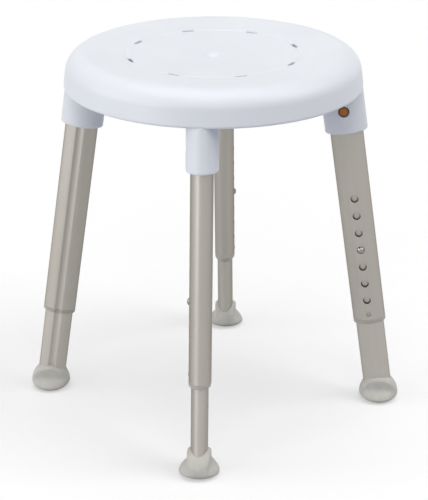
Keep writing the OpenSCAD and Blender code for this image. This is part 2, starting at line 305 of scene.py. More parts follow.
# one output of a node: + - * / on it add Math nodes
class Wire:
    def __init__(self, paint, socket):
        self.paint, self.socket = paint, socket

    def maths(self, operation, first, second):
        return self.paint.add("ShaderNodeMath", {"operation": operation}, {0: first, 1: second})

    def __add__(self, other):
        return self.maths("ADD", self, other)

    def __radd__(self, other):
        return self.maths("ADD", other, self)

    def __sub__(self, other):
        return self.maths("SUBTRACT", self, other)

    def __rsub__(self, other):
        return self.maths("SUBTRACT", other, self)

    def __mul__(self, other):
        return self.maths("MULTIPLY", self, other)

    def __rmul__(self, other):
        return self.maths("MULTIPLY", other, self)

    # the larger of the two
    def __or__(self, other):
        return self.maths("MAXIMUM", self, other)

    def __ror__(self, other):
        return self.maths("MAXIMUM", other, self)


class Paint:
    def __init__(self, owner):
        self.owner = owner
        owner.use_nodes = True
        self.tree = owner.node_tree
        self.tree.nodes.clear()

    # a node: its type, its settings, its sockets' values or links, and which output is wanted
    def add(self, kind, settings={}, sockets={}, out=0):
        node = self.tree.nodes.new(kind)
        for name, value in settings.items():
            if name == "stops":
                self.setStops(node.color_ramp, value)
            else:
                setattr(node, name, value)
        for name, value in sockets.items():
            if isinstance(value, Wire):
                self.tree.links.new(value.socket, node.inputs[name])
            else:
                node.inputs[name].default_value = value
        return Wire(self, node.outputs[out]) if len(node.outputs) else node

    def setStops(self, ramp, stops):
        while len(ramp.elements) < len(stops):
            ramp.elements.new(0.5)
        for element, (position, level) in zip(ramp.elements, stops):
            element.position, element.color = position, (level, level, level, 1)

    # where a point is on its piece, stretched by scale; alongLeg turns it to the leg's frame first
    def place(self, scale=(1, 1, 1), alongLeg=False):
        where = self.add("ShaderNodeTexCoord", out=3)
        if not alongLeg:
            return self.add("ShaderNodeMapping", sockets={0: where, 3: scale})
        return self.add("ShaderNodeMapping", {"vector_type": "TEXTURE"}, {
            0: where, 1: legMatrix.translation, 2: (0, -lean, 0), 3: [1 / s for s in scale]})

    def noise(self, where, scale, detail=2, roughness=0.5):
        return self.add("ShaderNodeTexNoise", sockets={
            "Vector": where, "Scale": scale, "Detail": detail, "Roughness": roughness})

    def mix(self, share, first, second):
        return self.add("ShaderNodeMix", {"data_type": "RGBA"}, {0: share, 6: first, 7: second}, out=2)

    def spread(self, value, low, high):
        return self.add("ShaderNodeValToRGB", {"stops": [(low, 0), (high, 1)]}, {0: value})

    def bump(self, height, strength, distance):
        return self.add("ShaderNodeBump", sockets={
            "Height": height, "Strength": strength, "Distance": distance})

    def finish(self, **sockets):
        names = {key: key for key in sockets}
        names.update(baseColor="Base Color", roughness="Roughness", metallic="Metallic", normal="Normal",
                     specular="Specular IOR Level", coat="Coat Weight", coatRoughness="Coat Roughness",
                     edge="Specular Tint")
        shader = self.add("ShaderNodeBsdfPrincipled", sockets={
            names[key]: value for key, value in sockets.items()})
        self.add("ShaderNodeOutputMaterial", sockets={"Surface": shader})
        return self.owner


def newPaint(name):
    return Paint(bpy.data.materials.new(name))


seatPaint = {
    "colour": (228, 231, 236),
    "shade": (224, 227, 233),
    "paintedSlotShade": (94, 107, 150),       # painted shade at the bottom of a drain slot
    "roughness": 0.40,
    "grainScale": 2200,      # grain of the mould's eroded surface, about half a millimetre
    "grainDepth": 0.00002,
}


# the second argument gives the slots' painted shade two levels: below the first all is painted shade, above the
# second none is
def paintSeat(name="seatPlastic", paintedSlotShade=None):
    paint = newPaint(name)
    where = paint.place()
    cloud = paint.spread(paint.noise(where, 7, 3), 0.35, 0.65)
    grain = paint.noise(where, seatPaint["grainScale"], 2)
    colour = paint.mix(cloud, linear(*seatPaint["colour"]), linear(*seatPaint["shade"]))
    if paintedSlotShade:
        # painted shade: darker and bluer lower down on a slot's walls
        level = paint.add("ShaderNodeSeparateXYZ", sockets={0: where}, out=2)
        colour = paint.mix(paint.spread(level, *paintedSlotShade), linear(*seatPaint["paintedSlotShade"]), colour)
    return paint.finish(
        baseColor=colour,
        roughness=seatPaint["roughness"] - 0.03 + cloud * 0.02 + grain * 0.06,
        normal=paint.bump(grain, 0.35, seatPaint["grainDepth"]))


tubePaint = {
    "outer": (172, 168, 161),
    "inner": (178, 174, 167),
    "holeWallShade": (90, 84, 76),      # painted shade on the walls of the holes
    "streak": 0.06,          # how much lighter and darker the drawn streaks are
    "metallic": 0.82,
    "roughness": 0.45,
    "gloss": 0.1,
    "edge": (0.32, 0.29, 0.25, 1),     # tint of the gloss at a grazing angle
}


def paintTube(name, colour):
    paint = newPaint(name)
    drawn = paint.noise(paint.place((900, 900, 6), True), 1, 3, 0.6)     # lines along the draw
    satin = paint.noise(paint.place(), 3200, 2)       # etched before anodising
    cloud = paint.noise(paint.place((30, 30, 7), True), 1, 2)
    light = [c * (1 + tubePaint["streak"]) for c in colour]
    dark = [c * (1 - tubePaint["streak"]) for c in colour]
    mixed = paint.mix(drawn * 0.5 + cloud * 0.5, linear(*dark), linear(*light))
    return paint.finish(
        baseColor=mixed,
        metallic=tubePaint["metallic"],
        specular=tubePaint["gloss"],
        edge=tubePaint["edge"],
        roughness=tubePaint["roughness"] - 0.05 + drawn * 0.06 + satin * 0.05,
        normal=paint.bump(drawn * 0.6 + satin * 0.4, 0.25, 0.00001))


# a plain moulding: its two shades, how rough it is, and how fine its clouds and its grain are
def paintMoulding(name, bright, dark, roughness, cloudScale, grainScale):
    paint = newPaint(name)
    where = paint.place()
    grain = paint.noise(where, grainScale, 2)
    cloud = paint.noise(where, cloudScale, 2)
    colour = paint.mix(cloud, linear(*bright), linear(*dark))
    return paint.finish(baseColor=colour, roughness=roughness + grain * 0.08,
                        normal=paint.bump(grain, 0.3, 0.00002))


mouldings = {
    "bush": ("bushPlastic", (176, 172, 165), (168, 164, 157), 0.42, 60, 2500),
    "button": ("buttonPlastic", (174, 105, 20), (164, 97, 16), 0.38, 160, 1800),
    # painted shade on the button's recessed collar
    "buttonWalls": ("buttonCollarPaintedShade", (104, 66, 36), (92, 58, 32), 0.38, 160, 1800),
}


rubberPaint = {
    "colour": (190, 187, 179),
    "dusty": (198, 196, 189),
    "nearFloorShade": (142, 138, 131),      # painted shade near the floor
    "nearFloorShadeLevels": (0.002, 0.007),      # levels between which the painted shade ends
    "roughness": 0.62,
}


def paintRubber():
    paint = newPaint("footRubber")
    where = paint.place()
    grain = paint.noise(where, 1600, 3)
    dust = paint.spread(paint.noise(where, 90, 4), 0.4, 0.7)
    clean = paint.mix(dust, linear(*rubberPaint["colour"]), linear(*rubberPaint["dusty"]))
    # painted shade: the rubber is darker near the floor
    height = paint.add("ShaderNodeSeparateXYZ", sockets={0: where}, out=2)
    above = paint.spread(height, *rubberPaint["nearFloorShadeLevels"])
    return paint.finish(
        baseColor=paint.mix(above, linear(*rubberPaint["nearFloorShade"]), clean),
        roughness=rubberPaint["roughness"] + dust * 0.08 + grain * 0.06,
        normal=paint.bump(grain, 0.4, 0.00003))


steels = {
    "pin": ("pinSteel", (150, 146, 140), 0.16),
    "spring": ("springSteel", (160, 158, 152), 0.30),
}


def paintSteel(name, colour, roughness, darker=0.93):
    paint = newPaint(name)
    brushed = paint.noise(paint.place((400, 400, 2600)), 1, 2)
    mixed = paint.mix(brushed, linear(*colour), linear(*[c * darker for c in colour]))
    return paint.finish(baseColor=mixed, metallic=1.0, roughness=roughness + brushed * 0.08,
                        normal=paint.bump(brushed, 0.15, 0.00001))


finishes = {
    "seat": paintSeat(),
    "outerTube": paintTube("outerAluminium", tubePaint["outer"]),
    "innerTube": paintTube("innerAluminium", tubePaint["inner"]),
    # the holes' walls are painted dark as shade
    "outerTubeWalls": paintTube("holeWallPaintedShade", tubePaint["holeWallShade"]),
    "rubber": paintRubber(),
}
finishes["innerTubeWalls"] = finishes["outerTubeWalls"]
finishes.update({key: paintMoulding(*values) for key, values in mouldings.items()})
finishes.update({key: paintSteel(*values) for key, values in steels.items()})
print("stool: finishes made")


def newPiece(name, data):
    piece = bpy.data.objects.new(name, data)
    bpy.context.scene.collection.objects.link(piece)
    return piece


# scales a mesh to metres and gives it its finish, with a second one, a painted shade, for its marked walls
def dress(mesh, finish, sharp=35, walls=False):
    mesh.transform(Matrix.Scale(mm, 4))
    names = [finish, finish + "Walls"] if walls else [finish]
    if not walls:
        mesh.materials.clear()
    for index, name in enumerate(names):
        if index == len(mesh.materials):
            mesh.materials.append(None)
        mesh.materials[index] = finishes[name]
    mesh.shade_smooth()
    mesh.set_sharp_from_angle(angle=math.radians(sharp))
    return mesh


# puts one mesh on all four legs, each on its own body
def onLegs(name, shape, finish, body, node):
    mesh = dress(shape.mesh(name), finish, walls=bool(shape.walls))
    mesh.transform(legMatrix)
    for turn, side in enumerate(sides):
        piece = newPiece(f"{name}_{side}", mesh)
        piece.matrix_world = Matrix.Rotation(turn * math.pi / 2, 4, "Z")
        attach(piece, f"{body}_{side}")
        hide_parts(f"{node}_{side}")
    print("stool:", name, "on four legs,", len(mesh.polygons), "faces each")


tubeBox = legSpan("outer_tube_right")
innerBox = legSpan("inner_tube_right")
pinBox = legSpan("snap_pin_right")
buttonBox = legSpan("release_button_right")

outerTube = {
    "width": tubeBox[1].x - tubeBox[0].x,
    "thick": -2 * tubeBox[0].y,
    "endRadius": 9.5,
    "groove": (10.3, 2.5),
    "grooveEdge": 0.9,
    "wall": 1.6,
    "holePitch": 25,
    "holeCount": 7,
    "holeDiameter": 10.4,
    "holeTaper": 0.45,   # how much smaller in radius the punch leaves a hole on the inside
    "nubHole": 5.6,
    "nubUp": 8.8,        # how far the nub sits above the tube's end
    "buttonHole": 15,
}
tubeEnd, tubeTop = tubeBox[0].z, tubeBox[1].z
pinLevel = (pinBox[0].z + pinBox[1].z) / 2
buttonLevel = (buttonBox[0].z + buttonBox[1].z) / 2


def buildOuterTubes():
    t = outerTube
    half = (t["holeCount"] - 1) / 2
    holes = [(pinLevel + (k - half) * t["holePitch"], t["holeDiameter"], t["holeTaper"])
             for k in range(t["holeCount"])]
    holes += [(tubeEnd + t["nubUp"], t["nubHole"], 0), (buttonLevel, t["buttonHole"], 0)]
    tube = holedTube(t, t["wall"], tubeEnd, tubeTop, holes)
    onLegs("outerTube", tube, "outerTube", "leg", "outer_tube")


innerTube = {
    "width": innerBox[1].x - innerBox[0].x,
    "thick": -2 * innerBox[0].y,
    "endRadius": 7.5,
    "groove": (11, 2.5),
    "grooveEdge": 0.9,
    "wall": 1.5,
    "pinHole": 9.9,
    "lip": 0.3,
    "holeEdge": 0.25,
}


def buildInnerTubes():
    t = innerTube
    tube = holedTube(t, t["wall"], innerBox[0].z, innerBox[1].z, [(pinLevel, t["pinHole"], 0)],
                     lip=t["lip"], holeEdge=t["holeEdge"])
    onLegs("innerTube", tube, "innerTube", "lower_leg", "inner_tube")


guideBush = {
    "flange": 5.2,
    "flangeRound": 0.9,
    "shoulder": 0.3,     # rounding where the flange meets the tube's end
    "sleeve": 20,
    "sleeveRound": 0.5,
    "mouth": (0.4, 0.6),     # rounding of the bore's upper and lower edge
    "face": 1.6,         # how far both end faces reach out from the bore
    "fit": 0.1,          # between the sleeve and the outer tube
    "slide": 0.3,        # between the bush and the inner tube
    "nub": 5,
    "nubProud": 0.5,
    "nubSteps": ((0, 0.4), (0.15, 0.13), (0.45, 0)),     # its edge: (in from the rim, below the top)
}


# a path of (grow, level) that keeps to one oval
def keepTo(oval, path):
    return [(oval, grow, s) for grow, s in path]


# rings whose outlines change from one oval to another: profile of (oval, grow, level)
def ovalRings(shape, profile):
    shape.rows([ring(oval, grow, s) for oval, grow, s in profile])


def buildGuideBushes():
    g = guideBush
    skin, low, high = -outerTube["wall"] - g["fit"], tubeEnd - g["flange"], tubeEnd + g["sleeve"]
    inset, skinLow, skinHigh = 0.6, tubeEnd + 0.6, high - 1.2
    outside = rounded([
        (-g["flangeRound"] - 1, low, 0), (0, low, g["flangeRound"]), (0, tubeEnd, g["shoulder"]),
        (skin, tubeEnd, 0), (skin, skinLow, 0)])
    top = rounded([(skin, skinHigh, 0), (skin, high, g["sleeveRound"]), (skin - inset, high, 0)])
    upper, lower = g["mouth"]
    bore = rounded([(g["face"], high, 0), (g["slide"], high, upper),
                    (g["slide"], low, lower), (g["face"], low, 0)])
    shape = Shape()
    ovalRings(shape, keepTo(outerTube, outside))
    ovalRings(shape, keepTo(outerTube, top))
    ovalRings(shape, [(outerTube, skin - inset, high), (innerTube, g["face"], high)])
    ovalRings(shape, keepTo(innerTube, bore))
    ovalRings(shape, [(innerTube, g["face"], low), (outerTube, -g["flangeRound"] - 1, low)])
    # the sleeve's skin, with the nub standing out of it
    radius, middle, proud = g["nub"] / 2, tubeEnd + outerTube["nubUp"], g["nubProud"]
    cellTop = 2 * middle - skinLow
    around = outline(outerTube, skin)
    levels = [skinLow + (cellTop - skinLow) * k / stripColumns for k in range(stripColumns + 1)]
    sheet(shape, around[stripColumns:] + around[:1], levels + [skinHigh])
    sheet(shape, around[:stripColumns + 1], (cellTop, skinHigh))
    steps = [(radius, skin)] + [(radius - across, proud - down) for across, down in g["nubSteps"]]
    holeCell(shape, outerTube, skinLow, cellTop, middle, skin, steps, tip=proud)
    onLegs("guideBush", shape, "bush", "leg", "guide_bush")


slideCap = {
    "thick": 3,
    "rim": (0.4, 0.8),       # rounding of the head's lower and upper edge
    "plug": 12,
    "plugRound": 1,
    "fit": 0.1,          # between the plug and the inner tube
    "slide": 0.3,        # between the head and the outer tube
}


def buildSlideCaps():
    c, base = slideCap, innerBox[1].z
    wide, narrow = -outerTube["wall"] - c["slide"], -innerTube["wall"] - c["fit"]
    bottom, top = base - c["plug"], base + c["thick"]
    lower, upper = c["rim"]
    plug = rounded([(narrow - 3, bottom, 0), (narrow, bottom, c["plugRound"]), (narrow, base, 0)])
    head = rounded([(wide - 2, base, 0), (wide, base, lower), (wide, top, upper), (wide - 3, top, 0)])
    shape = Shape()
    ovalRings(shape, keepTo(innerTube, plug) + keepTo(outerTube, head))
    shape.fan(ring(innerTube, plug[0].x, plug[0].y), (0, 0, plug[0].y))
    shape.fan(ring(outerTube, head[-1].x, head[-1].y), (0, 0, head[-1].y))
    onLegs("slideCap", shape, "bush", "lower_leg", "slide_cap")


# a shank behind a head, from its back to where the front begins: corners are (radius, out, rounding)
def shank(piece, back, corners, headRound=0.3, neckRound=0.2):
    (wide, thick), axis = piece["head"], 0.01
    path = [(axis, back, 0), (wide / 2, back, headRound), (wide / 2, back + thick, headRound),
            (piece["diameter"] / 2, back + thick, neckRound)]
    return [(0, back)] + [tuple(p) for p in rounded(path + corners)]


snapPin = {
    "diameter": 9.3,
    "dome": 2.2,
    "domeSteps": 14,
    "head": (12, 1.2),
}


def buildSnapPins():
    tip, back = -pinBox[0].y, -pinBox[1].y
    radius, dome, count = snapPin["diameter"] / 2, snapPin["dome"], snapPin["domeSteps"]
    domeRadius = arcRadius(2 * radius, dome)
    spread = math.asin(radius / domeRadius)
    profile = shank(snapPin, back, [(radius, tip - dome, 0)])
    for k in range(1, count):
        a = spread * (1 - k / count)
        profile.append((domeRadius * math.sin(a), tip - domeRadius * (1 - math.cos(a))))
    profile.append((0, tip))
    shape = Shape()
    turned(shape, profile, pinLevel)
    onLegs("snapPin", shape, "pin", "pin", "snap_pin")


releaseButton = {
    "diameter": 14.4,
    "face": 10.7,
    "step": 1.5,
    "head": (17, 1.5),
    "rim": (0.4, 0.3, 0.45),     # rounding of the collar, of the corner in it and of the face
    "crown": 0.25,       # how far the face swells in its middle
    "crownSteps": 8,
}


def buildReleaseButtons():
    b = releaseButton
    tip, back = -buttonBox[0].y, -buttonBox[1].y
    radius, faceRadius, shoulder = b["diameter"] / 2, b["face"] / 2, tip - b["step"]
    collar, corner, rim = b["rim"]
    # the last corner only shows the face's rounding where to go
    profile = shank(b, back, [
        (radius, shoulder, collar), (faceRadius, shoulder, corner),
        (faceRadius, tip - b["crown"], rim), (0.01, tip - b["crown"], 0)])[:-1]
    for k in range(b["crownSteps"]):
        share = 1 - k / b["crownSteps"]
        profile.append((faceRadius * 0.85 * share, tip - b["crown"] * (share * 0.9) ** 2))
    profile.append((0, tip))
    shape = Shape()
    turned(shape, profile, buttonLevel)
    # all outside the face takes the painted shade of the recessed collar
    outside = [math.hypot(x, s - buttonLevel) > faceRadius + 0.1 for x, _, s in shape.points]
    shape.walls = [k for k, face in enumerate(shape.faces) if any(outside[p] for p in face)]
    onLegs("releaseButton", shape, "button", "release", "release_button")


rubberFoot = {
    "halfWidth": 27,
    "sole": 14,          # half width of the patch on the floor
    "soleRound": 0.6,
    "swell": 1.6,        # how full the body is between the sole and its widest ring
    "wideLevel": 9.5,    # level of the widest ring, outwards and inwards
    "wingLevel": 5.5,    # and along the seat's edge
    "crown": 38.2,       # where the domed keel would end on its axis
    "keelThick": 31.4,
    "keelSide": 80,      # radius of the keel's two sides
    "keelRound": 0.7,
    "wingTop": 17,       # where the wings' slope would meet the keel
    "wingRise": -0.009,  # how that level changes away from the middle, per mm squared
    "wingSlope": 38,
    "wingRound": 5,
    "hollow": 3,         # how softly the wings run into the keel
    "fit": 0.1,
    "rowCount": 64,
    "lipSearch": (20, 50),   # levels between which the rubber ends on the tube
}


# soft unions and cuts on whole arrays of distances
def joined(a, b, soft):
    h = np.maximum(soft - np.abs(a - b), 0) / soft
    return np.minimum(a, b) - h * h * soft / 4


def shared(a, b, soft):
    return -joined(-a, -b, soft)


footCentre = Vector(mountNamed("foot_base_right")["pos_m"]).x / mm


# below 0 inside the rubber; points are in the leg's frame
def footField(points):
    f = rubberFoot
    x, y, s = points[:, 0], points[:, 1], points[:, 2]
    out = x * math.cos(lean) - s * math.sin(lean) + footRadius - footCentre
    z = x * math.sin(lean) + s * math.cos(lean)
    w, sole, wide = f["halfWidth"], f["sole"], f["wideLevel"]
    radius = np.hypot(out, y)
    over = np.hypot(radius / w, (z - wide) / (f["crown"] - wide)) - 1
    # under its widest ring, which dips towards the wings, the body slopes in to the sole
    low = wide + (f["wingLevel"] - wide) * y ** 2 / (radius ** 2 + 0.01)     # no division by zero
    beyond, below = np.maximum(radius - sole, 0) / (w - sole), np.maximum(low - z, 0) / low
    under = (beyond ** f["swell"] + below ** f["swell"]) ** (1 / f["swell"]) - 1
    body = np.where(z > wide, over * 20, np.where(z > low, radius - w, under * 5))     # about millimetres
    slope = math.radians(f["wingSlope"])
    top = f["wingTop"] + f["wingRise"] * out ** 2
    wings = (z - top) * math.cos(slope) + (np.abs(y) - f["keelThick"] / 2) * math.sin(slope)
    wings = shared(wings, radius - w, f["wingRound"])
    keel = np.hypot(out, np.abs(y) - f["keelThick"] / 2 + f["keelSide"]) - f["keelSide"]
    sides = joined(keel, wings, f["hollow"])
    return shared(shared(body, sides, f["keelRound"]), -z, f["soleRound"])


# halves the gap between low, inside the rubber, and high, outside it; at gives the points
def closeIn(low, high, at, halvings):
    for k in range(halvings):
        mid = (low + high) / 2
        inside = footField(at(mid)) < 0
        low, high = np.where(inside, mid, low), np.where(inside, high, mid)
    return low, high


# the outermost point of the rubber along each ray from start
def castOut(start, directions, reach=70, steps=140):
    t = np.full(len(directions), float(reach))
    found = np.zeros(len(directions), bool)
    for k in range(steps):
        now = t - reach / steps
        inside = footField(start + directions * now[:, None]) < 0
        t = np.where(found | inside, t, now)
        found |= inside
    low, high = closeIn(t - reach / steps, t, lambda mid: start + directions * mid[:, None], 22)
    return start + directions * ((low + high) / 2)[:, None]


def buildFeet():
    f, rowCount = rubberFoot, rubberFoot["rowCount"]
    start = np.array([0.0, 0.0, 5.0])
    edge = np.array(outline(innerTube, f["fit"]))
    # the lip: the level where the rubber ends on the tube's outline
    low, high = [np.full(len(edge), float(level)) for level in f["lipSearch"]]
    low, high = closeIn(low, high, lambda mid: np.column_stack([edge, mid]), 26)
    lip = np.column_stack([edge, low])
    toLip = lip - start
    toLip /= np.linalg.norm(toLip, axis=1)[:, None]
    rise = np.arcsin(toLip[:, 2])
    flat = toLip[:, :2] / np.linalg.norm(toLip[:, :2], axis=1)[:, None]
    rows = []
    for k in range(1, rowCount):
        angle = -math.pi / 2 + (rise + math.pi / 2) * k / rowCount
        directions = np.column_stack([flat * np.cos(angle)[:, None], np.sin(angle)])
        rows.append([tuple(p) for p in castOut(start, directions)])
    rows.append([tuple(p) for p in lip])
    floorLevel = innerBox[0].z
    for share in (0.06, 0.5, 1):
        rows.append([(x, y, s + (floorLevel - s) * share) for x, y, s in lip])
    shape = Shape()
    shape.rows(rows)
    bottom = castOut(start, np.array([[0.0, 0.0, -1.0]]))[0]
    shape.fan(rows[0], bottom)
    shape.fan(rows[-1], (0, 0, floorLevel))
    onLegs("rubberFoot", shape, "rubber", "lower_leg", "rubber_foot")


seatPoints = np.array([v.co for v in frame["nodes"]["seat"].data.vertices]) / mm
seatHeight = float(seatPoints[:, 2].max())
skirtHeight = 45.3
skirtPoints = seatPoints[seatPoints[:, 2] > seatHeight - skirtHeight]
seatMould = {
    "height": seatHeight,
    "diameter": 2 * float(np.hypot(skirtPoints[:, 0], skirtPoints[:, 1]).max()),
    "wall": 4,
    "dishDepth": 7.5,
    "crestRound": 30,        # radius of the top's high ring
    "edgeRound": 26,         # and of the edge outside it
    "kneeAngle": 25,         # where the two meet, in degrees from upright
    "arcSteps": (14, 22),
    "skirt": skirtHeight,
    "lowerEdge": 3.5,
    "dimple": (24, 4.5),
    "dimpleRim": 2.4,
    "groove": (4.5, 0.8),
    "grooveRim": 0.35,
    "slotRing": 226.6,
    "slotCount": 8,
    "slot": (17.4, 4.8),
    "slotEdge": 1.4,
    "slotShade": (3.6, 2.0),     # depths between which a slot's walls take their painted shade
    "ribWall": 2.5,
    "ribDrop": 26.5,
    "ribEdge": 0.6,
    "hub": 30,
    "ringRibs": (120, 252),
    "segments": 288,
    "ribSegments": 192,
}
socket = {
    "width": 57,
    "thick": 41.5,
    "endRadius": 15,
    "mouthRound": 3,
    "mouthFlare": 1.2,
    "insert": 66,
    "slide": 0.3,        # between the socket and the outer tube
    "ledge": 2,          # how far the stop above the tube reaches in
    "buttonHole": 15,
    "holeEdge": 0.6,
}
mouthLevel = tubeTop - socket["insert"]
leanDeg = math.degrees(lean)


# where the seat's arcs lie, in radius and height
def seatArcs():
    m = seatMould
    knee = math.radians(m["kneeAngle"])
    step = m["crestRound"] - m["edgeRound"]
    lowerZ = m["height"] - m["skirt"] + m["lowerEdge"]
    edgeEnd = m["height"] - m["crestRound"] + step * math.cos(knee) + m["edgeRound"] * math.sin(lean)
    crestR = (m["diameter"] / 2 - step * math.sin(knee) - m["edgeRound"] * math.cos(lean)
              - (edgeEnd - lowerZ) * math.tan(lean))
    span = arcRadius(2 * crestR, m["dishDepth"])
    return {
        "lowerZ": lowerZ,
        "dishRadius": span - m["crestRound"],
        "dishAngle": math.degrees(math.asin(crestR / span)),
        "dish": (0, m["height"] - m["dishDepth"] + span - m["crestRound"]),
        "crest": (crestR, m["height"] - m["crestRound"]),
        "edge": (crestR + step * math.sin(knee), m["height"] - m["crestRound"] + step * math.cos(knee)),
    }


arcs = seatArcs()


# the dish's level, or that of a skin so far below it
def dishZ(r, inset=0):
    return arcs["dish"][1] - math.sqrt((arcs["dishRadius"] + inset) ** 2 - r ** 2)


# the top's level with the dimple and the ring groove in it
def topZ(r):
    m = seatMould
    level = dishZ(r)
    hollows = ((m["dimple"], 0, m["dimpleRim"]), (m["groove"], m["slotRing"] / 2, m["grooveRim"]))
    for (width, depth), middle, soft in hollows:
        radius = arcRadius(width, depth)
        if abs(r - middle) < radius:
            bottom = dishZ(middle) - depth + radius - math.sqrt(radius ** 2 - (r - middle) ** 2)
            level = softMin(level, bottom, soft)
    return level


# radii at which the dish is sampled: close together in the dimple and the groove
def dishRadii():
    crest = arcs["dishRadius"] * math.sin(math.radians(arcs["dishAngle"]))
    middle = seatMould["slotRing"] / 2
    runs = ((0, 0.8, range(1, 16)), (12, 5, range(1, 20)),
            (middle - 4.2, 0.4, range(22)), (middle + 6, 5, range(10)))
    radii = [start + step * k for start, step, places in runs for k in places]
    return [r for r in radii if r < crest - 1]


# the high ring and the edge outside it, on a skin so far below the top
def curveBelow(inset):
    m, a = seatMould, arcs
    knee, (crestSteps, edgeSteps) = 90 - m["kneeAngle"], m["arcSteps"]
    curve = arcPoints(a["crest"], m["crestRound"] - inset, 90 + a["dishAngle"], knee, crestSteps)
    return curve + arcPoints(a["edge"], m["edgeRound"] - inset, knee, leanDeg, edgeSteps)[1:]


# the same with the dish inside it, coarsely, for what lies under the top
def topBelow(inset):
    return [(r, dishZ(r, inset)) for r in range(15, 165, 15)] + curveBelow(inset)


def skirtR(inset, z):
    return seatMould["diameter"] / 2 + (arcs["lowerZ"] - z) * math.tan(lean) - inset / math.cos(lean)


# a closed solid turned about the stool's axis, from the axis back to the axis
def revolved(profile, segments):
    shape = Shape()
    turns = [2 * math.pi * k / segments for k in range(segments)]
    shape.rows([[(r * math.cos(a), r * math.sin(a), z) for a in turns] for r, z in profile[1:-1]])
    for (_, tip), (r, z) in ((profile[0], profile[1]), (profile[-1], profile[-2])):
        shape.fan([(r * math.cos(a), r * math.sin(a), z) for a in turns], (0, 0, tip))
    return shape


def solid(shape, name="tool"):
    return newPiece(name, shape.mesh(name))


# body joins tool, loses it, or keeps what both fill; the tool is used up
def combine(body, tool, operation):
    change = body.modifiers.new("change", "BOOLEAN")
    change.operation, change.solver, change.object = operation, "MANIFOLD", tool
    result = bpy.data.meshes.new_from_object(body.evaluated_get(bpy.context.evaluated_depsgraph_get()))
    body.modifiers.clear()
    body.data = result
    bpy.data.objects.remove(tool)
    return body


# a closed prism of (oval, grow, level) rings on one leg
def legPrism(profile, turn):
    shape = Shape()
    ovalRings(shape, profile)
    for oval, grow, s in (profile[0], profile[-1]):
        shape.fan(ring(oval, grow, s), (0, 0, s))
    return placedOnLeg(shape, turn)


def placedOnLeg(shape, turn):
    toFoot = Matrix.Rotation(turn * math.pi / 2, 4, "Z") @ Matrix.Translation((footRadius, 0, 0))
    place = toFoot @ Matrix.Rotation(-lean, 4, "Y")
    shape.points = [tuple(place @ Vector(p)) for p in shape.points]
    return solid(shape)


def roundPost(radius, low, high):
    edge, axis = seatMould["ribEdge"], 0.01
    section = rounded([(axis, low, 0), (radius, low, edge), (radius, high, 0), (axis, high, 0)])
    return solid(revolved([(0, low), *section, (0, high)], 96))


# a rib's section: rounded below, square above
def ribSection(middle, low, high):
    half, edge = seatMould["ribWall"] / 2, seatMould["ribEdge"]
    return rounded([(middle - half, low, edge), (middle + half, low, edge),
                    (middle + half, high, 0), (middle - half, high, 0)], closed=True)


def ringRib(radius, low, high):
    shape, count = Shape(), seatMould["ribSegments"]
    turns = [2 * math.pi * k / count for k in range(count + 1)]
    section = ribSection(radius, low, high)
    shape.rows([[(r * math.cos(a), r * math.sin(a), z) for r, z in section] for a in turns])
    return solid(shape)


def barRib(length, low, high, turn):
    shape, spin = Shape(), Matrix.Rotation(turn, 3, "Z")
    section = ribSection(0, low, high)
    shape.capped([[tuple(spin @ Vector((x, y, z))) for y, z in section] for x in (-length, length)])
    return solid(shape)


slotTop = dishZ(seatMould["slotRing"] / 2)
slotShade = [(slotTop - depth) * mm for depth in seatMould["slotShade"]]
# a second seat finish, with painted shade, for the slots' walls
finishes["seatWalls"] = paintSeat("slotPaintedShade", paintedSlotShade=slotShade)


# how a cutter flares out below the surface that it opens: (wider, up)
def flareSteps(edge, count=4):
    turns = [math.radians(60 * k / count) for k in range(count + 1)]
    return [(edge * (1 - math.cos(a)), -edge * (1 - math.sin(a))) for a in turns]


# a slot's cutter: a long hole whose upper edge flares out to the dish
def slotCutter(turn):
    m = seatMould
    length, width = m["slot"]
    edge, middle = m["slotEdge"], m["slotRing"] / 2
    straight = (length - width) / 2
    depths = [(0, -14)] + flareSteps(edge) + [(edge * 1.6, 1.6)]
    spin = Matrix.Rotation(turn, 3, "Z")
    rows = []
    for flare, depth in depths:
        radius = width / 2 + flare
        row = []
        for end, first in ((1, 0), (-1, 180)):
            for a in [math.radians(first + 180 * k / 12) for k in range(13)]:
                x, y = middle + radius * math.cos(a), end * straight + radius * math.sin(a)
                row.append(tuple(spin @ Vector((x, y, dishZ(math.hypot(x, y)) + depth))))
        rows.append(row)
    shape = Shape()
    shape.capped(rows)
    # the cutter's faces become the slot's walls, which take the painted shade
    shape.walls = range(len(shape.faces))
    return solid(shape)


# cutter for the button's hole: flares out where it meets the socket's curved side
def buttonHoleCutter(turn):
    edge, radius = socket["holeEdge"], socket["buttonHole"] / 2
    steps = [(0, -15)] + flareSteps(edge) + [(edge * 1.6, 1.4)]
    turns, rows = [2 * math.pi * k / 56 for k in range(56)], []
    for flare, out in steps:
        across = [((radius + flare) * math.cos(a), (radius + flare) * math.sin(a)) for a in turns]
        rows.append([(x, -holeSideY(socket, 0, x) - out, buttonLevel + s) for x, s in across])
    shape = Shape()
    shape.capped(rows)
    return placedOnLeg(shape, turn)


# both skins keep clear of the dimple inside this radius
dimpleRadius, dimpleLow = seatMould["dimple"][0] / 2 + 2, dishZ(0) - seatMould["dimple"][1]


# the shell's section: top, edge, skirt, rounded lower edge, and the same again inside
def shellSection():
    m, lowerZ = seatMould, arcs["lowerZ"]
    wall, skirtZ = m["wall"], m["height"] - m["skirt"]
    lowerEdge = arcPoints((m["diameter"] / 2 - m["lowerEdge"] / math.cos(lean), lowerZ),
                          m["lowerEdge"], leanDeg, -78, 9)
    innerR = skirtR(wall, skirtZ)
    corner = [(innerR + 0.12, skirtZ + 0.02), (innerR, skirtZ + 0.2), (skirtR(wall, lowerZ), lowerZ)]
    dish = [(r, dishZ(r, wall)) for r in reversed(dishRadii()) if r > dimpleRadius + 1]
    dish += [(dimpleRadius, dimpleLow - wall), (0, dimpleLow - wall)]
    outside = [(0, topZ(0))] + [(r, topZ(r)) for r in dishRadii()] + curveBelow(0) + lowerEdge
    return outside + corner + curveBelow(wall)[::-1] + dish


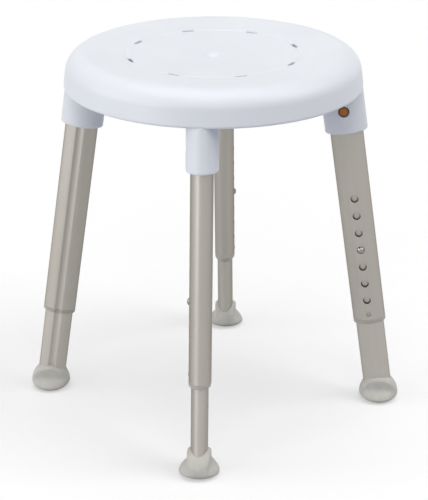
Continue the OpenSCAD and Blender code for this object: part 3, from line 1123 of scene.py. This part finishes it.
# hub, ribs and sockets, as far up as the middle of the shell's wall
def buildUnderside():
    m, lowerZ, top = seatMould, arcs["lowerZ"], seatMould["height"]
    low = top - m["ribDrop"]
    under = roundPost(m["hub"] / 2, low, top)
    for diameter in m["ringRibs"]:
        combine(under, ringRib(diameter / 2, low, top), "UNION")
    for k in range(4):
        combine(under, barRib(m["diameter"] / 2 - 3, low, top, k * math.pi / 4), "UNION")
    mouth = rounded([(-6, mouthLevel, 0), (0, mouthLevel, socket["mouthRound"]), (0, top + 60, 0)])
    for turn in range(4):
        combine(under, legPrism(keepTo(socket, mouth), turn), "UNION")
    half, far = m["wall"] / 2, m["diameter"] / 2 + socket["width"]
    filling = [(0, dimpleLow - half), (dimpleRadius, dimpleLow - half)] + topBelow(half)
    filling += [(skirtR(half, lowerZ), lowerZ), (far, lowerZ), (far, 1), (0, 1)]
    return combine(under, solid(revolved(filling, m["ribSegments"])), "INTERSECT")


# the tube's room in its socket, what is free above the tube's stop, and the button's hole
def openSocket(seat, turn):
    m, gap, flare = seatMould, socket["slide"], socket["mouthFlare"]
    room = [(gap + flare, mouthLevel - 2), (gap + flare, mouthLevel - 0.4),
            (gap, mouthLevel + flare), (gap, tubeTop + gap)]
    combine(seat, legPrism(keepTo(outerTube, room), turn), "DIFFERENCE")
    above = keepTo(outerTube, [(gap - socket["ledge"], s) for s in (tubeTop - 1, m["height"] + 40)])
    wall, low = m["wall"], m["height"] - m["skirt"] - 9
    inside = [(0, dishZ(0, wall)), *topBelow(wall), (skirtR(wall, low), low), (0, low)]
    cutter = combine(legPrism(above, turn), solid(revolved(inside, m["ribSegments"])), "INTERSECT")
    combine(seat, cutter, "DIFFERENCE")
    combine(seat, buttonHoleCutter(turn), "DIFFERENCE")


def buildSeat():
    m = seatMould
    seat = solid(revolved(shellSection(), m["segments"]), "seatTop")
    combine(seat, buildUnderside(), "UNION")
    for turn in range(4):
        openSocket(seat, turn)
    # the slots' walls, with their painted shade, come out with the second of these two
    seat.data.materials.clear()
    for _ in range(2):
        seat.data.materials.append(None)
    for k in range(m["slotCount"]):
        combine(seat, slotCutter((k + 0.5) * 2 * math.pi / m["slotCount"]), "DIFFERENCE")
    dress(seat.data, "seat", sharp=32, walls=True)
    weighted = seat.modifiers.new("even", "WEIGHTED_NORMAL")
    weighted.keep_sharp = True
    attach(seat, "seat")
    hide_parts("seat")
    print("stool: seat,", len(seat.data.polygons), "faces")


buildSeat()
buildOuterTubes()
buildInnerTubes()
buildGuideBushes()
buildSlideCaps()
buildSnapPins()
buildReleaseButtons()
buildFeet()

# the leaf springs keep their CAD shape and take their finish here
for side in sides:
    for node in (f"release_spring_{side}", f"pin_spring_{side}"):
        spring = frame["nodes"][node]
        spring.data.materials.clear()
        spring.data.materials.append(finishes["spring"])
print("stool: springs finished")


studio = {
    "floorHalf": 9000,
    "floorLevel": -0.3,
    "floorColour": (1.0, 1.0, 1.0, 1),
    "floorShade": (0.98, 0.98, 0.98, 1),
    "floorBounce": (0.54, 0.55, 0.61, 1),    # its colour in the light that it throws back
    "floorGlow": 0.45,       # share of plain white in what is seen of the floor
    "worldColour": (1, 1, 1, 1),
    "worldStrength": 0.03,
    # azimuth, elevation and how wide the lamp looks, in degrees, and its share of the full light
    "lamps": {
        "overhead": (0, 90, 60, 0.50),
        "front": (274, 41, 40, 0.14),
        "right": (352, 43, 40, 0.40),
        "left": (190, 14, 30, 0.26),
        "leftFront": (225, 10, 30, 0.30),
    },
}


# 1 where the background itself is looked at, straight or in a gloss
def seenRays(paint):
    camera, glossy, clear = [paint.add("ShaderNodeLightPath", out=name)
                             for name in ("Is Camera Ray", "Is Glossy Ray", "Is Transmission Ray")]
    return camera | glossy | clear


def buildFloor():
    half, level = studio["floorHalf"], studio["floorLevel"]
    shape = Shape()
    shape.rows([[(x, y, level) for x in (-half, half)] for y in (-half, half)], closed=False)
    paint = newPaint("floorPaper")
    seen = seenRays(paint)
    paper = paint.mix(paint.noise(paint.place(), 40, 3), studio["floorColour"], studio["floorShade"])
    colour = paint.mix(seen, studio["floorBounce"], paper)
    matt = paint.add("ShaderNodeBsdfDiffuse", sockets={"Color": colour})
    glow = paint.add("ShaderNodeEmission", sockets={"Color": (1, 1, 1, 1), "Strength": 1.0})
    both = paint.add("ShaderNodeMixShader", sockets={0: seen * studio["floorGlow"], 1: matt, 2: glow})
    paint.add("ShaderNodeOutputMaterial", sockets={"Surface": both})
    floor = newPiece("floor", shape.mesh("floor"))
    floor.data.transform(Matrix.Scale(mm, 4))
    floor.data.materials.append(paint.owner)


def buildWorld():
    world = bpy.data.worlds.new("studio")
    bpy.context.scene.world = world
    paint = Paint(world)
    dim = studio["worldStrength"]
    sky = paint.add("ShaderNodeBackground", sockets={
        "Color": studio["worldColour"], "Strength": dim + seenRays(paint) * (1 - dim)})
    paint.add("ShaderNodeOutputWorld", sockets={"Surface": sky})


# the unit vector towards a place on the sky, from its angles in degrees
def towards(azimuth, elevation):
    a, e = math.radians(azimuth), math.radians(elevation)
    return Vector((math.cos(a) * math.cos(e), math.sin(a) * math.cos(e), math.sin(e)))


def addLamps():
    for name, (azimuth, elevation, spread, share) in studio["lamps"].items():
        lamp = bpy.data.lights.new(name, "SUN")
        lamp.angle = math.radians(spread)
        lamp.energy = share * math.pi     # pi lights a surface that faces the lamp at its own colour
        piece = newPiece(name, lamp)
        piece.rotation_euler = towards(azimuth, elevation).to_track_quat("Z", "Y").to_euler()


view = {
    "lens": 122.0,
    "sensor": 36,
    "azimuth": 274.53,
    "elevation": 22.44,
    "distance": 2.3365,
    "aim": (0.0007, 0, 0.2173),
}


def addCamera():
    data = bpy.data.cameras.new("camera")
    data.lens, data.sensor_width = view["lens"], view["sensor"]
    camera = newPiece("camera", data)
    back = towards(view["azimuth"], view["elevation"])
    camera.location = Vector(view["aim"]) + back * view["distance"]
    camera.rotation_euler = back.to_track_quat("Z", "Y").to_euler()
    bpy.context.scene.camera = camera


buildFloor()
buildWorld()
addLamps()
addCamera()
bpy.context.scene.view_settings.view_transform = "Standard"
print("stool: studio ready")
